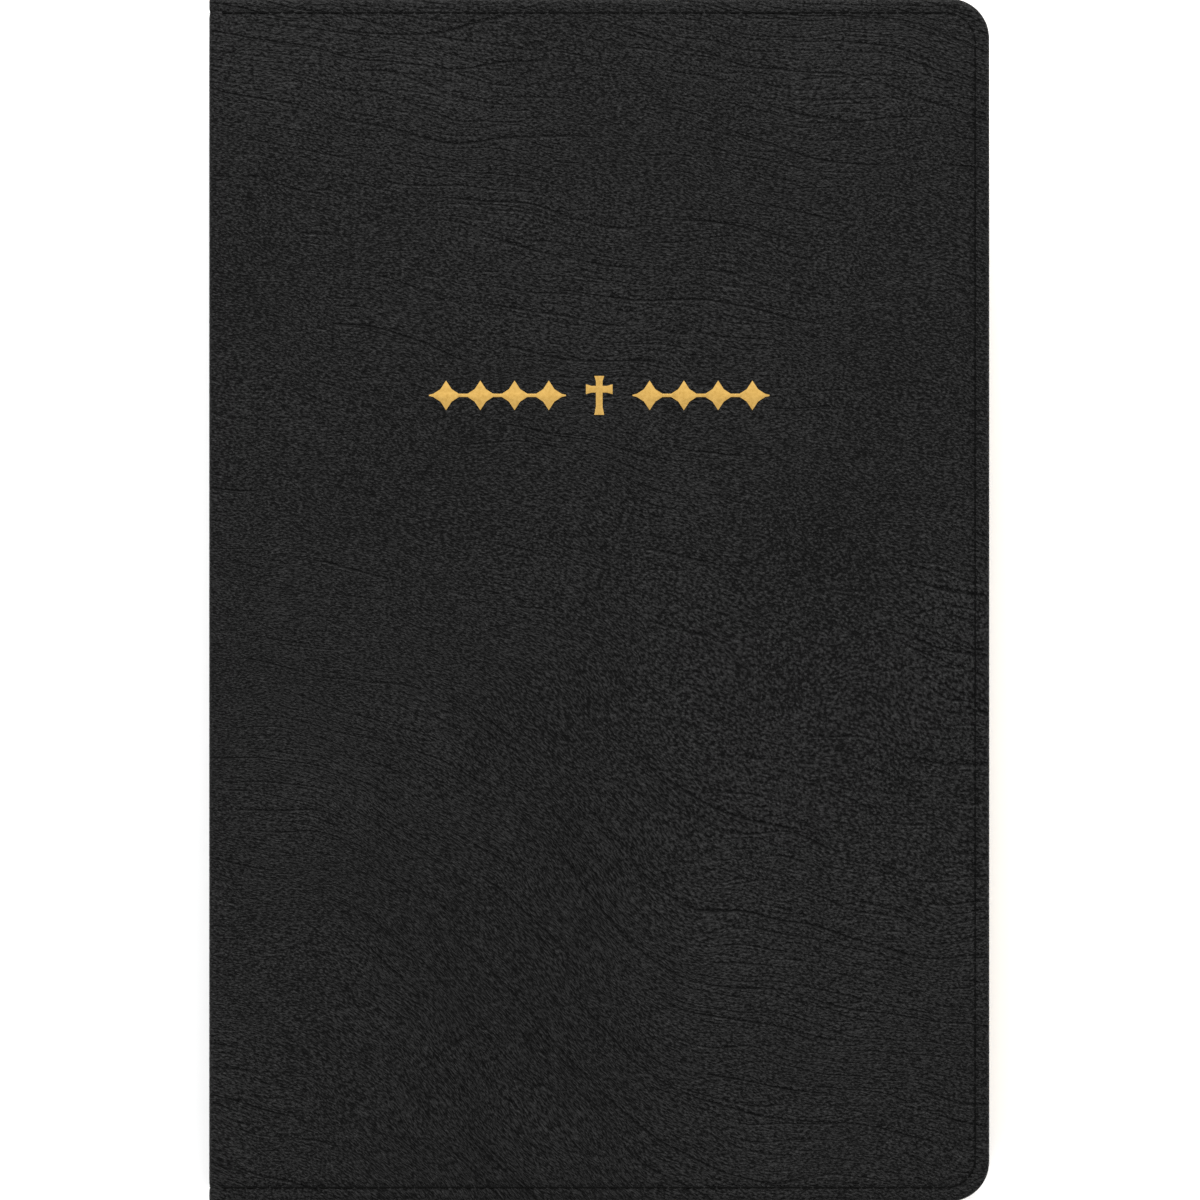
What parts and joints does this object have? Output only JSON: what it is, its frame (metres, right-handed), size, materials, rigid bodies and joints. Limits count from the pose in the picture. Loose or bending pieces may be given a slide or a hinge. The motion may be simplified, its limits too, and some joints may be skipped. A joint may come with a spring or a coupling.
{
  "type": "bible",
  "caption": "Closed devotional book in limp black leather with stitched edges, rounded fore-edge corners, a gilt cross ornament and a sewn, gilt-edged text block.",
  "frame": {"origin": "centre of the closed book's footprint, at the back cover's outer face", "axes": "+X from the spine to the fore-edge, +Y from the tail to the head of the page, +Z from the back cover to the front cover"},
  "size_m": [0.1524, 0.235, 0.028],
  "materials": {
    "black_leather": "satin",
    "black_thread": "matte",
    "gilt_foil": "satin",
    "grey_board": "matte",
    "bible_paper": "matte",
    "endpaper": "matte",
    "lining_paper": "matte",
    "mull_cloth": "matte",
    "linen_thread": "matte",
    "headband_cloth": "matte"
  },
  "bodies": {
    "text_rear": {"section_10": "bible_paper", "section_11": "bible_paper", "section_12": "bible_paper", "section_13": "bible_paper", "section_14": "bible_paper", "section_15": "bible_paper", "section_16": "bible_paper", "section_17": "bible_paper", "section_18": "bible_paper", "back_flyleaf": "endpaper"},
    "spine": {"spine_leather": "black_leather", "spine_inlay": "grey_board", "spine_lining": "lining_paper", "spine_mull": "mull_cloth", "spine_stitching_head": "black_thread", "spine_stitching_tail": "black_thread", "headband_head": "headband_cloth", "headband_tail": "headband_cloth", "sewing_thread_1": "linen_thread", "sewing_thread_2": "linen_thread", "sewing_thread_3": "linen_thread", "sewing_thread_4": "linen_thread", "sewing_thread_5": "linen_thread"},
    "text_front": {"section_01": "bible_paper", "section_02": "bible_paper", "section_03": "bible_paper", "section_04": "bible_paper", "section_05": "bible_paper", "section_06": "bible_paper", "section_07": "bible_paper", "section_08": "bible_paper", "section_09": "bible_paper"},
    "front_flyleaf_turn": {"front_flyleaf": "endpaper"},
    "front_cover": {"front_cover_leather": "black_leather", "front_board": "grey_board", "front_pastedown": "endpaper", "front_stitching_head": "black_thread", "front_stitching_tail": "black_thread", "ornament_cross": "gilt_foil", "ornament_wing_spine_side": "gilt_foil", "ornament_wing_fore_side": "gilt_foil"},
    "front_cover_fore_edge": {"front_cover_leather_fore_edge": "black_leather", "front_board_fore_edge": "grey_board", "front_pastedown_fore_edge": "endpaper", "front_stitching_fore_edge": "black_thread"},
    "back_cover": {"back_cover_leather": "black_leather", "back_board": "grey_board", "back_pastedown": "endpaper", "back_stitching_head": "black_thread", "back_stitching_tail": "black_thread"},
    "back_cover_fore_edge": {"back_cover_leather_fore_edge": "black_leather", "back_board_fore_edge": "grey_board", "back_pastedown_fore_edge": "endpaper", "back_stitching_fore_edge": "black_thread"}
  },
  "joints": [
    {"name": "spine_swing", "type": "hinge", "parent": "text_rear", "child": "spine", "pos_m": [-0.07505, 0, 0.00115], "axis": [0, -1, 0], "range_deg": [0, 90]},
    {"name": "text_front_turn", "type": "hinge", "parent": "spine", "child": "text_front", "pos_m": [-0.07505, 0, 0.02685], "axis": [0, -1, 0], "range_deg": [0, 90]},
    {"name": "front_cover_hinge", "type": "hinge", "parent": "text_front", "child": "front_cover", "pos_m": [-0.07505, 0, 0.02685], "axis": [0, 1, 0], "range_deg": [-176, 0]},
    {"name": "front_flyleaf_lift", "type": "hinge", "parent": "text_front", "child": "front_flyleaf_turn", "pos_m": [-0.0724, 0, 0.0253], "axis": [0, 1, 0], "range_deg": [-25, 0]},
    {"name": "front_cover_flex", "type": "hinge", "parent": "front_cover", "child": "front_cover_fore_edge", "pos_m": [0.038, 0, 0.028], "axis": [0, 1, 0], "range_deg": [-20, 0]},
    {"name": "back_cover_hinge", "type": "hinge", "parent": "text_rear", "child": "back_cover", "pos_m": [-0.07505, 0, 0.00115], "axis": [0, -1, 0], "range_deg": [-180, 0]},
    {"name": "back_cover_flex", "type": "hinge", "parent": "back_cover", "child": "back_cover_fore_edge", "pos_m": [0.038, 0, 0], "axis": [0, -1, 0], "range_deg": [-20, 0]}
  ],
  "couplings": [
    {"joint": "text_front_turn", "follows": "spine_swing", "ratio": 1},
    {"joint": "front_flyleaf_lift", "follows": "front_cover_hinge", "ratio": 0.12}
  ]
}
